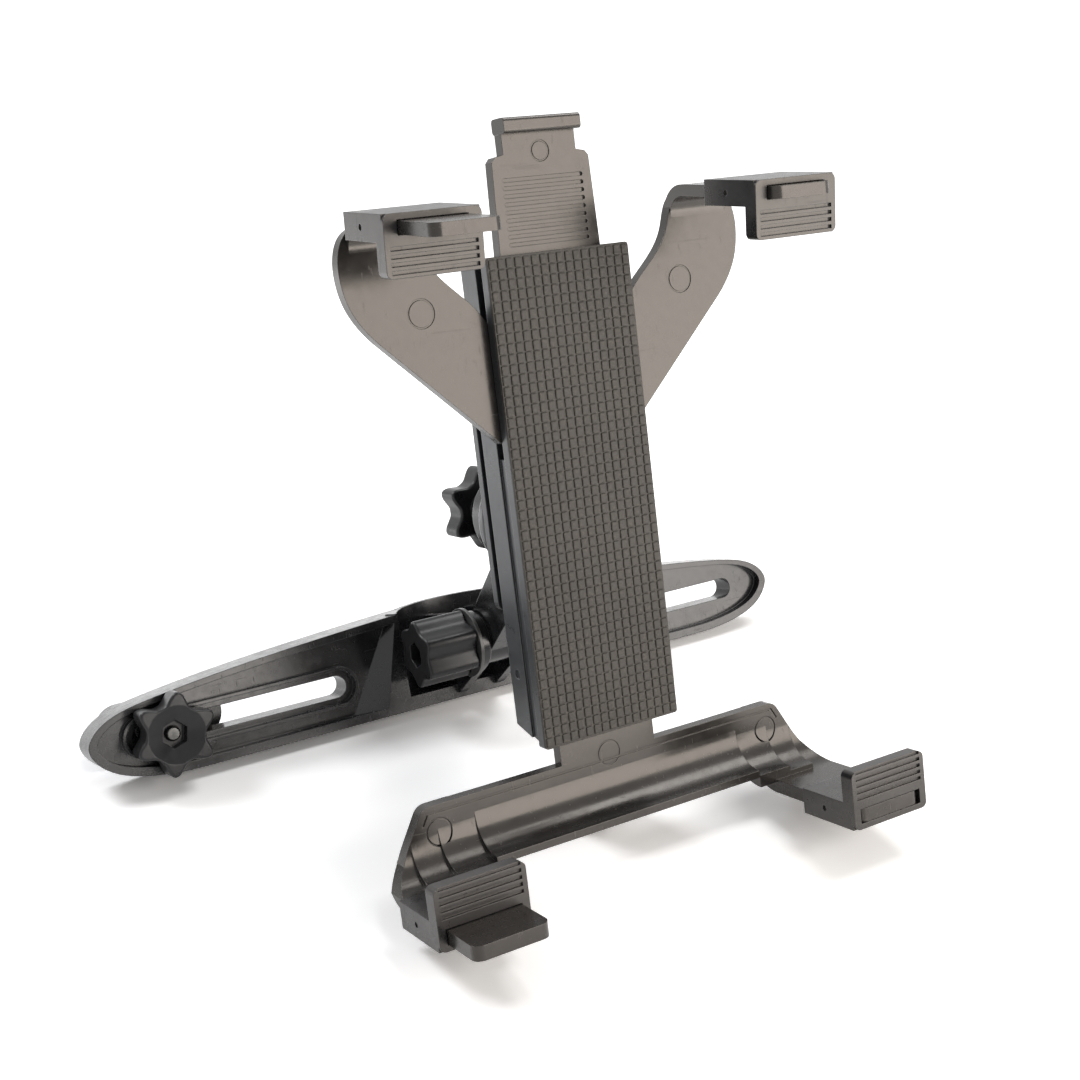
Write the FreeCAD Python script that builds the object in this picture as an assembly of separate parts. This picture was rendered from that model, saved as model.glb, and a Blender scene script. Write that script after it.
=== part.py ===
import FreeCAD, Part
import math
import os

# Tablet holder that clamps to the two posts of a car headrest.
# Lengths are in millimetres. Z is up and the floor is at 0.
# X runs along the headrest bar, and Y points away from the tablet, towards the bar.
# The holder's own pieces are drawn upright first: x across, y towards the back from the pad's face,
# z up from the pad's lower edge. They are then leaned back and put in their place.

V = FreeCAD.Vector

# Pad and block
PAD_WIDTH = 49.6
PAD_HEIGHT = 150.0
PAD_THICK = 1.2
COVER_THICK = 3.3
CARRIAGE_FRONT = 4.8
CARRIAGE_PLATE = 2.4
CARRIAGE_DEPTH = 4.0
HOUSING_FRONT = 9.0
HOUSING_BACK = 19.2
HOUSING_WIDTH = 48.8
HOUSING_WALL = 2.0
BLOCK_BOTTOM_SLOPE = 0.30
RAIL_OUTER = 23.7
RAIL_TOP = 90.0
CHANNEL_HALF = 17.9
STEM_HALF = 17.6
PILLAR_R = 3.0
PILLAR_GAP = 0.3
SLIDE_TRAVEL = 45.0
UPPER_PILLAR_Z = 118.0
LOWER_PILLAR_Z = 9.0

# Back plate and swivel
PLATE_FRONT = 20.6
PLATE_THICK = 2.6
PLATE_LOW = 41.0
PLATE_HIGH = 103.0
SWIVEL_Z = 66.0
BASE_LENGTH = 9.8
DISC_R = 19.5
DISC_THICK = 4.5
HEAD_R = 15.0
HEAD_LENGTH = 12.5
HEAD_BOSS_R = 9.0
HEAD_BOSS_LENGTH = 10.0
SWIVEL_BOLT_R = 3.0
RUNNING_GAP = 0.05

# Upper carriage
UPPER_STEM_LOW = 64.0
TAB_TOP = 189.4
TAB_NECK_HALF = 12.6
TAB_NECK_LOW = 179.0
TAB_SHOULDER_HALF = 16.8
LIP_HEIGHT = 4.6
LIP_FORWARD = 3.4
GROOVE_COUNT = 9
GROOVE_PITCH = 2.35
GROOVE_HALF = 14.0
GROOVE_LOW = 152.8
ARM_TOP = 163.0
UPPER_TONGUE_X = 55.2
UPPER_TONGUE_WIDTH = 21.0
UPPER_TONGUE_THICK = 3.6
UPPER_CURL_R = 6.0
UPPER_CURL_Z = 155.6
UPPER_DROOP_DEG = 6.0
TONGUE_REACH = 48.0

# Lower carriage
LOWER_STEM_HIGH = 61.0
CROSS_TOP = -8.0
FOLD_Z = -13.7
CROSS_TOP_HALF = 66.6
CROSS_MID_HALF = 75.5
CROSS_MID_Z = -23.5
CROSS_CORNER_R = 4.5
RIM_LINE_IN = 1.9
RIM_LINE_WIDTH = 0.7
RIM_LINE_DEPTH = 0.4
COVE_R = 11.5
COVE_THICK = 2.4
FIRST_STEP_X = 49.7
FIRST_DROP = 1.7
SECOND_STEP_X = 62.5
SECOND_DROP = 3.3
THIRD_STEP_X = 72.0
END_DROP = 5.0
LOWER_TONGUE_X = 68.3
LOWER_TONGUE_WIDTH = 24.2
LOWER_TONGUE_THICK = 4.4
TONGUE_CORNER_R = 3.0
FOOT_HALF = 11.0
FOOT_FRONT = 18.5
FOOT_THICK = 6.0

# Jaws
JAW_WIDTH = 29.6
JAW_LENGTH = 24.4
JAW_WALL = 1.8
JAW_LIP_THICK = 5.0
UPPER_LIP_HEIGHT = 17.2
LOWER_LIP_HEIGHT = 18.7
JAW_GAP = 0.2
DIMPLE_R = 0.9
DIMPLE_DEPTH = 0.5
RIDGE_COUNT = 5
RIDGE_PITCH = 2.1
UPPER_JAW_IN = 28.5
UPPER_JAW_OUT = 44.0
LOWER_JAW_IN = 31.6
LOWER_JAW_OUT = 48.0

# Where the holder stands, and how far it leans back
LEAN_DEG = 13.0
HOLDER_X = -8.0
HOLDER_Y = -33.9
HOLDER_Z = 39.8

# Headrest bar, drawn upright with its lower edge at 0, and then leaned back about that edge
BAR_LEAN_DEG = 18.0
BAR_HALF = 143.5
BAR_FRONT = 73.3
BAR_DEPTH = 13.0
BAR_MID_HIGH = 37.0
BAR_TIP_Z = 15.5
RIM_WIDTH = 3.0
RECESS = 3.5
SLOT_Z = 15.0
SLOT_HALF_HEIGHT = 4.0
SLOT_OUTER = 127.5
SLOT_INNER = 48.0
COLLAR_HALF_HEIGHT = 7.4
COLLAR_OUTER = 131.5
COLLAR_INNER = 44.0
COLLAR_WALL = 1.2
COLLAR_BELOW_RIM = 0.9
HUB_FOOT_HALF = 52.5
HUB_FRONT_HALF = 35.0
HUB_TOP_HALF = 27.5
HUB_TOP_FRONT_HALF = 25.8
SCOOP_HALF = 25.0
SCOOP_DEPTH = 18.0
SCOOP_FLOOR = 5.0
BOWL_WALL = 2.4

# Tilt hinge
HINGE_Y = 66.0
HINGE_Z = 30.0
TILT_BOLT_R = 2.5
TILT_KNOB_X = -27.0
TILT_KNOB_LENGTH = 20.2
TILT_KNOB_R = 12.4
TILT_KNOB_VALLEY = 9.9
TILT_WASHER_R = 12.8
TILT_WASHER = 1.2
LUG_THICK = 3.5
LUG_R = 11.0
THIN_WASHER = 0.8
THIN_WASHER_R = 10.2
TONGUE_THICK = 11.0
BARREL_R = 9.5

# Star knobs
STAR_R = 14.5
STAR_VALLEY = 10.3
STAR_THICK = 9.0
STAR_BOSS_R = 6.5
STAR_DISH_R = 10.0
STAR_DISH = 3.0
HEX_FLATS = 8.4
HEX_DEPTH = 6.0
CLAMP_BOLT_R = 2.5

# Post clamps
LEFT_CLAMP_X = -116.0
RIGHT_CLAMP_X = 66.0
POST_R = 6.0
POST_OFFSET = 14.5
CLAMP_SHORT_END = 18.0
CLAMP_LONG_END = 26.0
CLAMP_HALF_HEIGHT = 9.0
CLAMP_THICK = 10.0
CLAMP_GAP = 8.0
LINER_THICK = 1.0
SEAT_DEPTH = 4.2
SHOE_GAP = 0.3
SHOE_PROUD = 0.1
CLAMP_BOSS = 1.0
BOLT_BELOW_KNOB = 4.0


def box(x0, x1, y0, y1, z0, z1):
    return Part.makeBox(x1 - x0, y1 - y0, z1 - z0, V(x0, y0, z0))


def rod(radius, length, start, direction):
    return Part.makeCylinder(radius, length, start, direction)


def rod_y(radius, x, z, y0, y1):
    return rod(radius, y1 - y0, V(x, y0, z), V(0, 1, 0))


def rod_x(radius, y, z, x0, x1):
    return rod(radius, x1 - x0, V(x0, y, z), V(1, 0, 0))


def fuse(shapes):
    whole = shapes[0].fuse(shapes[1:]) if len(shapes) > 1 else shapes[0]
    return whole.removeSplitter()


def cut(shape, tools):
    return shape.cut(tools)


def polygon(points):
    return Part.makePolygon(points + [points[0]])


def prism(points, direction):
    return Part.Face(polygon(points)).extrude(direction)


def front_prism(points, y0, y1):
    """A straight-sided shape seen from the front, between two depths."""
    return prism([V(x, y0, z) for x, z in points], V(0, y1 - y0, 0))


def side_prism(points, x0, x1):
    """A straight-sided shape seen from the side, between two places across."""
    return prism([V(x0, y, z) for y, z in points], V(x1 - x0, 0, 0))


def stadium(x0, x1, z, half, y0, y1):
    """A bar with round ends, from x0 to x1 over all."""
    left = rod_y(half, x0 + half, z, y0, y1)
    right = rod_y(half, x1 - half, z, y0, y1)
    middle = box(x0 + half, x1 - half, y0, y1, z - half, z + half)
    return fuse([left, middle, right])


def hexagon(flats, length, start, direction):
    r = flats / math.sqrt(3.0)
    points = []
    for i in range(6):
        a = math.radians(60.0 * i)
        points.append(V(r * math.cos(a), r * math.sin(a), 0))
    solid = prism(points, V(0, 0, length))
    turn = FreeCAD.Rotation(V(0, 0, 1), direction)
    solid.Placement = FreeCAD.Placement(start, turn)
    return solid


def rounded(shape, radius, wanted):
    """Rounds the edges for which wanted(edge) is true."""
    edges = [e for e in shape.Edges if wanted(e)]
    return shape.makeFillet(radius, edges) if edges else shape


def along(edge, axis):
    """True when both ends of a straight edge differ only along one axis."""
    if len(edge.Vertexes) != 2 or edge.Curve.TypeId != "Part::GeomLine":
        return False
    d = edge.Vertexes[1].Point.sub(edge.Vertexes[0].Point)
    parts = {"x": abs(d.x), "y": abs(d.y), "z": abs(d.z)}
    return parts[axis] > 0.999 * d.Length


def flat_in_y(edge, y):
    """True when an edge lies in the plane at this depth."""
    b = edge.BoundBox
    return abs(b.YMin - y) < 1e-4 and abs(b.YMax - y) < 1e-4


def mirrored(shape):
    return shape.mirror(V(0, 0, 0), V(1, 0, 0))


def lean(shape):
    """Puts a piece of the holder, drawn upright, in its leaned place behind the pad's lower edge."""
    s = shape.copy()
    s.rotate(V(0, 0, 0), V(1, 0, 0), -LEAN_DEG)
    s.translate(V(HOLDER_X, HOLDER_Y, HOLDER_Z))
    return s


def unlean(y, z):
    """Place in the upright holder of a world place given by its Y and Z."""
    a = math.radians(LEAN_DEG)
    dy = y - HOLDER_Y
    dz = z - HOLDER_Z
    return dy * math.cos(a) - dz * math.sin(a), dy * math.sin(a) + dz * math.cos(a)


def bar_lift():
    """How far the bar's front lower edge is off the floor when its back lower edge stands on it."""
    return BAR_DEPTH * math.sin(math.radians(BAR_LEAN_DEG))


def lean_bar(shape):
    """Puts the bar, or a piece that it carries, in its leaned place."""
    s = shape.copy()
    s.rotate(V(0, BAR_FRONT, 0), V(1, 0, 0), -BAR_LEAN_DEG)
    s.translate(V(0, 0, bar_lift()))
    return s


def hinge_in_bar():
    """Place of the tilt axis in the upright bar."""
    a = math.radians(BAR_LEAN_DEG)
    dy = HINGE_Y - BAR_FRONT
    dz = HINGE_Z - bar_lift()
    return BAR_FRONT + dy * math.cos(a) - dz * math.sin(a), dy * math.sin(a) + dz * math.cos(a)


# Block

def rubber_pad():
    pad = box(-PAD_WIDTH / 2, PAD_WIDTH / 2, 0, PAD_THICK, 0, PAD_HEIGHT)
    return rounded(pad, 1.0, lambda e: along(e, "y"))


def front_cover():
    back = PAD_THICK + COVER_THICK
    cover = box(-PAD_WIDTH / 2, PAD_WIDTH / 2, PAD_THICK, back, 0, PAD_HEIGHT)
    cover = rounded(cover, 1.0, lambda e: along(e, "y"))
    holes = []
    for z in (LOWER_PILLAR_Z, UPPER_PILLAR_Z):
        holes.append(rod_y(1.25, 0, z, PAD_THICK + 1.0, back))
    return cut(cover, holes)


def block_housing():
    half = HOUSING_WIDTH / 2
    cover_back = PAD_THICK + COVER_THICK
    body = box(-half, half, HOUSING_FRONT, HOUSING_BACK, 0, PAD_HEIGHT)
    body = rounded(body, 1.6, lambda e: along(e, "z") and e.BoundBox.YMin > HOUSING_BACK - 1)
    inner = half - HOUSING_WALL
    deep = HOUSING_BACK - HOUSING_WALL
    hollow = box(-inner, inner, HOUSING_FRONT, deep, 10.0, PAD_HEIGHT - 3.0)
    body = cut(body, [hollow])
    ribs = []
    for x in (-12.0, 12.0):
        ribs.append(box(x - 1.0, x + 1.0, HOUSING_FRONT, deep, 9.0, PAD_HEIGHT - 2.0))
    for z in (45.0, 62.5, 92.0):
        ribs.append(box(-inner - 0.5, inner + 0.5, HOUSING_FRONT + 2.0, deep, z - 0.9, z + 0.9))
    for side in (-1, 1):
        a = side * CHANNEL_HALF
        b = side * RAIL_OUTER
        ribs.append(box(min(a, b), max(a, b), cover_back, HOUSING_FRONT + 1.0, 0, RAIL_TOP))
        ribs.append(box(min(a, b), max(a, b), HOUSING_FRONT, deep, 9.0, PAD_HEIGHT - 2.0))
    for z in (LOWER_PILLAR_Z, UPPER_PILLAR_Z):
        ribs.append(rod_y(PILLAR_R, 0, z, cover_back, deep + 0.5))
    body = fuse([body] + ribs)
    tools = [bottom_slope_cutter()]
    for z in (LOWER_PILLAR_Z, UPPER_PILLAR_Z):
        tools.append(rod_y(1.25, 0, z, cover_back - 1, cover_back + 7.0))
    for side in (-1, 1):
        tools.append(rod_x(1.6, 13.5, 22.0, side * half - 0.5, side * half + 0.5))
    return cut(body, tools).removeSplitter()


def bottom_slope_cutter():
    """Takes the block's lower end away along a line that rises towards the back."""
    y0 = PAD_THICK + COVER_THICK - 1
    y1 = HOUSING_BACK + 1
    z0 = BLOCK_BOTTOM_SLOPE * (y0 - PAD_THICK)
    z1 = BLOCK_BOTTOM_SLOPE * (y1 - PAD_THICK)
    return side_prism([(y0, -5), (y1, -5), (y1, z1), (y0, z0)], -30, 30)


def back_plate():
    half = HOUSING_WIDTH / 2
    y1 = PLATE_FRONT + PLATE_THICK
    plate = box(-half, half, PLATE_FRONT, y1, PLATE_LOW, PLATE_HIGH)
    plate = rounded(plate, 3.0, lambda e: along(e, "y"))
    feet = []
    for x, z in plate_screw_places():
        feet.append(rod_y(3.2, x, z, HOUSING_BACK, PLATE_FRONT + 0.5))
    return fuse([plate] + feet)


def plate_screw_places():
    x = HOUSING_WIDTH / 2 - 6.0
    return [(sx * x, z) for sx in (-1, 1) for z in (PLATE_LOW + 6.0, PLATE_HIGH - 6.0)]


def plate_screws():
    y = PLATE_FRONT + PLATE_THICK
    heads = []
    for x, z in plate_screw_places():
        head = rod_y(2.8, x, z, y, y + 1.8)
        head = rounded(head, 0.7, lambda e: flat_in_y(e, y + 1.8))
        cross = [box(x - 1.6, x + 1.6, y + 0.9, y + 2, z - 0.3, z + 0.3)]
        cross.append(box(x - 0.3, x + 0.3, y + 0.9, y + 2, z - 1.6, z + 1.6))
        heads.append(cut(head, cross))
    return Part.makeCompound(heads)


def swivel_start():
    return PLATE_FRONT + PLATE_THICK


def swivel_base():
    y0 = swivel_start()
    cone = Part.makeCone(DISC_R - 1.0, HEAD_R - 1.0, BASE_LENGTH, V(0, y0, SWIVEL_Z), V(0, 1, 0))
    ring = rod_y(DISC_R, 0, SWIVEL_Z, y0, y0 + 2.0)
    pocket = hexagon(10.0 + 0.1, 4.2, V(0, y0, SWIVEL_Z), V(0, 1, 0))
    hole = rod_y(SWIVEL_BOLT_R + RUNNING_GAP, 0, SWIVEL_Z, y0 - 1, y0 + BASE_LENGTH + 1)
    return cut(fuse([cone, ring]), [pocket, hole])


def swivel_disc():
    y0 = swivel_start() + BASE_LENGTH
    disc = rod_y(DISC_R, 0, SWIVEL_Z, y0, y0 + DISC_THICK)
    disc = rounded(disc, 1.4, lambda e: e.BoundBox.XLength > 2 * DISC_R - 1 and not along(e, "y"))
    hole = rod_y(SWIVEL_BOLT_R + RUNNING_GAP, 0, SWIVEL_Z, y0 - 1, y0 + DISC_THICK + 1)
    return cut(disc, [hole])


def head_start():
    return swivel_start() + BASE_LENGTH + DISC_THICK


def head_end():
    return head_start() + HEAD_LENGTH + HEAD_BOSS_LENGTH


def swivel_bolt():
    y0 = swivel_start()
    head = hexagon(10.0, 4.0, V(0, y0, SWIVEL_Z), V(0, 1, 0))
    end = head_end() + 1.5 + 4.5 + STAR_THICK - BOLT_BELOW_KNOB
    shank = rod_y(SWIVEL_BOLT_R, 0, SWIVEL_Z, y0, end)
    shank = shank.makeChamfer(0.6, [e for e in shank.Edges if flat_in_y(e, end)])
    return fuse([head, shank])


def swivel_washer():
    y0 = head_end()
    ring = rod_y(7.5, 0, SWIVEL_Z, y0, y0 + 1.5)
    hole = rod_y(SWIVEL_BOLT_R + 0.3, 0, SWIVEL_Z, y0 - 1, y0 + 3)
    return cut(ring, [hole])


# Star knobs

def star_wire(outer, valley, sharp, z):
    points = []
    count = 72
    for i in range(count):
        a = 2 * math.pi * i / count
        bump = (0.5 + 0.5 * math.cos(6 * a)) ** sharp
        r = valley + (outer - valley) * bump
        points.append(V(r * math.cos(a), r * math.sin(a), z))
    curve = Part.BSplineCurve()
    curve.interpolate(Points=points, PeriodicFlag=True)
    return Part.Wire([curve.toShape()])


def star_body(outer, valley, sharp, thick, edge):
    """Six-lobed body along +Z with its outer edges rounded."""
    body = Part.Face(star_wire(outer, valley, sharp, 0)).extrude(V(0, 0, thick))
    return rounded(body, edge, lambda e: e.BoundBox.XLength > outer)


def star_knob(bolt_r, boss_length, turn):
    """Knob along +Z: its boss starts at 0 and its dished face looks along +Z."""
    top = boss_length + STAR_THICK
    star = star_body(STAR_R, STAR_VALLEY, 1.5, STAR_THICK, 0.9)
    star.translate(V(0, 0, boss_length))
    boss = rod(STAR_BOSS_R, boss_length + 1.0, V(0, 0, 0), V(0, 0, 1))
    knob = fuse([star, boss])
    low_r = HEX_FLATS / 2 - 0.2
    flare = (STAR_DISH_R - low_r) / STAR_DISH
    dish = Part.makeCone(low_r, STAR_DISH_R + flare, STAR_DISH + 1, V(0, 0, top - STAR_DISH), V(0, 0, 1))
    pocket = hexagon(HEX_FLATS, HEX_DEPTH + 1, V(0, 0, top - HEX_DEPTH), V(0, 0, 1))
    hole = rod(bolt_r + RUNNING_GAP, top + 2, V(0, 0, -1), V(0, 0, 1))
    knob = cut(knob, [dish, pocket, hole])
    knob.rotate(V(0, 0, 0), V(0, 0, 1), turn)
    return knob


def rear_star_knob():
    knob = star_knob(SWIVEL_BOLT_R, 4.5, 30.0)
    knob.rotate(V(0, 0, 0), V(1, 0, 0), -90)
    knob.translate(V(0, head_end() + 1.5, SWIVEL_Z))
    return knob


# Carriages

def curved_prism(inner, outer, root, y0, y1):
    """A shape seen from the front: a smooth inner curve, a smooth outer one, and straight sides between."""
    edges = []
    for places in (inner, outer):
        curve = Part.BSplineCurve()
        curve.interpolate(Points=[V(x, y0, z) for x, z in places])
        edges.append(curve.toShape())
    path = [outer[-1]] + root + [inner[0]]
    for a, b in [(inner[-1], outer[0])] + list(zip(path, path[1:])):
        edges.append(Part.makeLine(V(a[0], y0, a[1]), V(b[0], y0, b[1])))
    wire = Part.Wire(Part.__sortEdges__(edges))
    return Part.Face(wire).extrude(V(0, y1 - y0, 0))


def arm_solid(y0, y1):
    """Right arm: root in the block, then up and round to the tongue."""
    inner = [(24.8, 131.0), (33.9, 141.6), (39.4, 147.2), (42.8, 153.0), (44.8, 159.0), (48.0, ARM_TOP)]
    outer = [(62.0, ARM_TOP), (66.6, 160.8), (69.2, 155.5), (69.6, 148.5), (68.0, 141.0), (64.8, 135.0), (60.5, 129.8)]
    root = [(24.6, 95.0), (16.0, 92.0), (16.0, 134.0)]
    return curved_prism(inner, outer, root, y0, y1)


def arm_pocket(y0, y1):
    """Hollow behind the arm, inside its rim."""
    inner = [(28.0, 129.5), (36.0, 139.0), (41.5, 144.8), (45.4, 151.0), (47.4, 156.0)]
    outer = [(63.5, 156.5), (66.6, 153.4), (67.2, 148.4), (65.7, 142.0), (62.8, 136.6), (59.0, 131.9)]
    return curved_prism(inner, outer, [(28.0, 101.8)], y0, y1)


def curved_section(x, root, centre, r_in, r_out, turn, tips):
    """Face across X: straight from its root, round two arcs about one centre, then out to the tips."""
    def spot(r, share):
        a = math.radians(turn * share)
        return V(x, centre[0] + r * math.cos(a), centre[1] + r * math.sin(a))
    line = Part.makeLine
    edges = [line(V(x, root[0][0], root[0][1]), spot(r_in, 0))]
    edges.append(Part.Arc(spot(r_in, 0), spot(r_in, 0.5), spot(r_in, 1)).toShape())
    path = [spot(r_in, 1)] + [V(x, y, z) for y, z in tips] + [spot(r_out, 1)]
    for a, b in zip(path, path[1:]):
        edges.append(line(a, b))
    edges.append(Part.Arc(spot(r_out, 1), spot(r_out, 0.5), spot(r_out, 0)).toShape())
    edges.append(line(spot(r_out, 0), V(x, root[1][0], root[1][1])))
    edges.append(line(V(x, root[1][0], root[1][1]), V(x, root[0][0], root[0][1])))
    return Part.Face(Part.Wire(edges))


def curl_tongue(front, x0, x1):
    """Plate that goes up, curls forward and runs out as the upper tongue."""
    thick = UPPER_TONGUE_THICK
    centre = (front - UPPER_CURL_R, UPPER_CURL_Z)
    low = UPPER_CURL_Z - 8.0
    turn = 90.0 + UPPER_DROOP_DEG
    slope = math.tan(math.radians(UPPER_DROOP_DEG))
    tips = []
    for r in (UPPER_CURL_R, UPPER_CURL_R + thick):
        y = centre[0] + r * math.cos(math.radians(turn))
        z = centre[1] + r * math.sin(math.radians(turn))
        tips.append((-TONGUE_REACH, z - slope * (y + TONGUE_REACH)))
    root = ((front, low), (front + thick, low))
    face = curved_section(x0, root, centre, UPPER_CURL_R, UPPER_CURL_R + thick, turn, tips)
    return face.extrude(V(x1 - x0, 0, 0))


def upper_tongue(side):
    x0 = UPPER_TONGUE_X - UPPER_TONGUE_WIDTH / 2
    tongue = curl_tongue(CARRIAGE_FRONT, x0, x0 + UPPER_TONGUE_WIDTH)
    tongue = rounded(tongue, TONGUE_CORNER_R, lambda e: along(e, "z") and e.BoundBox.YMax < 1 - TONGUE_REACH)
    return tongue if side > 0 else mirrored(tongue)


def upper_carriage():
    y0 = CARRIAGE_FRONT
    y1 = CARRIAGE_FRONT + CARRIAGE_DEPTH
    stem = [(-STEM_HALF, UPPER_STEM_LOW), (STEM_HALF, UPPER_STEM_LOW), (STEM_HALF, 150.0), (TAB_SHOULDER_HALF, 177.0)]
    stem += [(TAB_SHOULDER_HALF - 1.2, 178.4), (TAB_NECK_HALF, TAB_NECK_LOW), (TAB_NECK_HALF, TAB_TOP - 1.0)]
    left = [(-x, z) for x, z in reversed(stem[2:])]
    stem = front_prism(stem + left, y0, y1)
    arm = cut(arm_solid(y0, y1), [arm_pocket(y0 + CARRIAGE_PLATE, y1 + 1)])
    body = fuse([stem, arm, mirrored(arm)])
    hollow = box(-STEM_HALF + 2.4, STEM_HALF - 2.4, y0 + CARRIAGE_PLATE, y1 + 1, 140.0, 176.0)
    body = cut(body, [hollow])
    lip = box(-TAB_NECK_HALF - 0.6, TAB_NECK_HALF + 0.6, y0 - LIP_FORWARD, y1, TAB_TOP - LIP_HEIGHT, TAB_TOP)
    lip = rounded(lip, 1.2, lambda e: along(e, "x"))
    body = fuse([body, lip, upper_tongue(1), upper_tongue(-1)])
    return cut(body, upper_carriage_cuts())


def upper_carriage_cuts():
    y0 = CARRIAGE_FRONT
    tools = []
    for i in range(GROOVE_COUNT):
        z = GROOVE_LOW + GROOVE_PITCH * i
        tools.append(stadium(-GROOVE_HALF, GROOVE_HALF, z, 0.6, y0 - 1, y0 + 0.7))
    low = UPPER_PILLAR_Z - SLIDE_TRAVEL
    tools.append(pillar_slot(low, UPPER_PILLAR_Z))
    for x, z, r in ((-45.8, 136.5, 4.4), (45.8, 136.5, 4.4), (0, 179.4, 3.2)):
        tools.append(circle_mark(x, z, r))
    return tools


def pillar_slot(z0, z1):
    """Slot along which a carriage passes the pillar between cover and housing."""
    r = PILLAR_R + PILLAR_GAP
    y0 = CARRIAGE_FRONT - 1
    y1 = CARRIAGE_FRONT + CARRIAGE_DEPTH + 1
    return fuse([rod_y(r, 0, z0, y0, y1), box(-r, r, y0, y1, z0, z1), rod_y(r, 0, z1, y0, y1)])


def circle_mark(x, z, r):
    """Shallow round mark left in the moulding's face."""
    outer = rod_y(r, x, z, CARRIAGE_FRONT - 1, CARRIAGE_FRONT + 0.25)
    core = rod_y(r - 0.5, x, z, CARRIAGE_FRONT - 1, CARRIAGE_FRONT + 0.25)
    return outer.cut(core)


def tongue_outer():
    """How far the lower tongue's outer edge is from the middle."""
    return LOWER_TONGUE_X + LOWER_TONGUE_WIDTH / 2


def tongue_top():
    """Height of the lower tongue's upper face."""
    return FOLD_Z - END_DROP - COVE_R


def cross_outline():
    """Crossbar from the front: slanted ends down to the tongues' outer edges."""
    outer = tongue_outer()
    right = [(CROSS_TOP_HALF, CROSS_TOP), (CROSS_MID_HALF, CROSS_MID_Z), (outer, tongue_top())]
    right += [(outer, tongue_top() - 15.0)]
    return [(-x, z) for x, z in reversed(right)] + right


def cove_section(drop, thick, reach, x0, x1):
    """Plate that hangs down past the fold, then curls forward: the crossbar between two places."""
    front = CARRIAGE_FRONT
    centre = (front - COVE_R, FOLD_Z - drop)
    root = ((front, CROSS_TOP), (front + thick, CROSS_TOP))
    tips = []
    if reach > 0:
        tips = [(-reach, centre[1] - COVE_R), (-reach, centre[1] - COVE_R - thick)]
    face = curved_section(x0, root, centre, COVE_R, COVE_R + thick, -90.0, tips)
    return face.extrude(V(x1 - x0, 0, 0))


def lower_tongue():
    x0 = LOWER_TONGUE_X - LOWER_TONGUE_WIDTH / 2
    x1 = x0 + LOWER_TONGUE_WIDTH
    tongue = cove_section(END_DROP, LOWER_TONGUE_THICK, TONGUE_REACH, x0, x1)
    return rounded(tongue, TONGUE_CORNER_R, lambda e: along(e, "z") and e.BoundBox.YMax < 1 - TONGUE_REACH)


def stepped_cove():
    """Two coves beside the middle one, each a step lower, before the tongue's own."""
    first = END_DROP - FIRST_DROP + 0.8
    second = END_DROP - SECOND_DROP + 0.8
    inner = cove_section(FIRST_DROP, first, 0, FIRST_STEP_X, SECOND_STEP_X)
    outer = cove_section(SECOND_DROP, second, 0, SECOND_STEP_X, THIRD_STEP_X)
    return fuse([inner, outer])


def crossbar_trim():
    """The crossbar's outline as a block, with its two upper corners rounded."""
    block = front_prism(cross_outline(), -60, 30)
    return rounded(block, CROSS_CORNER_R, lambda e: along(e, "y") and e.BoundBox.ZMin > CROSS_TOP - 0.5)


def inset_face(w):
    """The crossbar's flat face made smaller by w at its top and slanted ends."""
    rise = CROSS_TOP - CROSS_MID_Z
    run = CROSS_MID_HALF - CROSS_TOP_HALF
    shift = w * math.hypot(rise, run) / rise
    low = FOLD_Z - 1.0
    high = CROSS_TOP - w
    right = []
    for z in (high, low):
        right.append((CROSS_TOP_HALF + run * (CROSS_TOP - z) / rise - shift, z))
    return [(-x, z) for x, z in reversed(right)] + right


def rim_groove():
    """Shallow line that leaves a rim along the crossbar's top and ends."""
    y0 = CARRIAGE_FRONT - 1
    y1 = CARRIAGE_FRONT + RIM_LINE_DEPTH
    outer = front_prism(inset_face(RIM_LINE_IN), y0, y1)
    inner = front_prism(inset_face(RIM_LINE_IN + RIM_LINE_WIDTH), y0 - 1, y1 + 1)
    below = box(-100, 100, y0 - 1, y1 + 1, -60, FOLD_Z)
    return outer.cut(inner).cut(below)


def tongue_trim():
    """Keeps the tongue's root inside the crossbar's slanted end."""
    ends = crossbar_trim()
    ahead = box(0, 100, -60, CARRIAGE_FRONT - COVE_R, -60, 0)
    return fuse([ends, ahead])


def lower_carriage():
    y0 = CARRIAGE_FRONT
    y1 = CARRIAGE_FRONT + CARRIAGE_DEPTH
    stem = box(-STEM_HALF, STEM_HALF, y0, y1, CROSS_TOP - 2.0, LOWER_STEM_HIGH)
    cross = cove_section(0, COVE_THICK, 0, -FIRST_STEP_X, FIRST_STEP_X)
    flange = box(-tongue_outer(), tongue_outer(), y0, y1, CROSS_TOP - 2.0, CROSS_TOP)
    trim = crossbar_trim()
    side = side_flange()
    cross = fuse([cross, flange, side, mirrored(side)]).common(trim)
    right = fuse([lower_tongue().common(tongue_trim()), stepped_cove().common(trim)])
    foot = lower_foot()
    body = fuse([stem, cross, right, mirrored(right), foot])
    low = LOWER_PILLAR_Z
    tools = [pillar_slot(low, low + SLIDE_TRAVEL), rim_groove()]
    for x, z, r in ((0, CROSS_TOP - 0.2, 4.2), (-62.1, FOLD_Z - 2.8, 4.4), (62.1, FOLD_Z - 2.8, 4.4)):
        tools.append(circle_mark(x, z, r))
    return cut(body, tools)


def side_flange():
    """Slanted rib down the crossbar's right end, behind its face."""
    y0 = CARRIAGE_FRONT + 0.4
    y1 = CARRIAGE_FRONT + CARRIAGE_DEPTH
    points = [(CROSS_TOP_HALF - 2.4, CROSS_TOP), (CROSS_TOP_HALF, CROSS_TOP)]
    points += [(CROSS_MID_HALF, CROSS_MID_Z), (CROSS_MID_HALF - 2.4, CROSS_MID_Z)]
    return front_prism(points, y0, y1)


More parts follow.
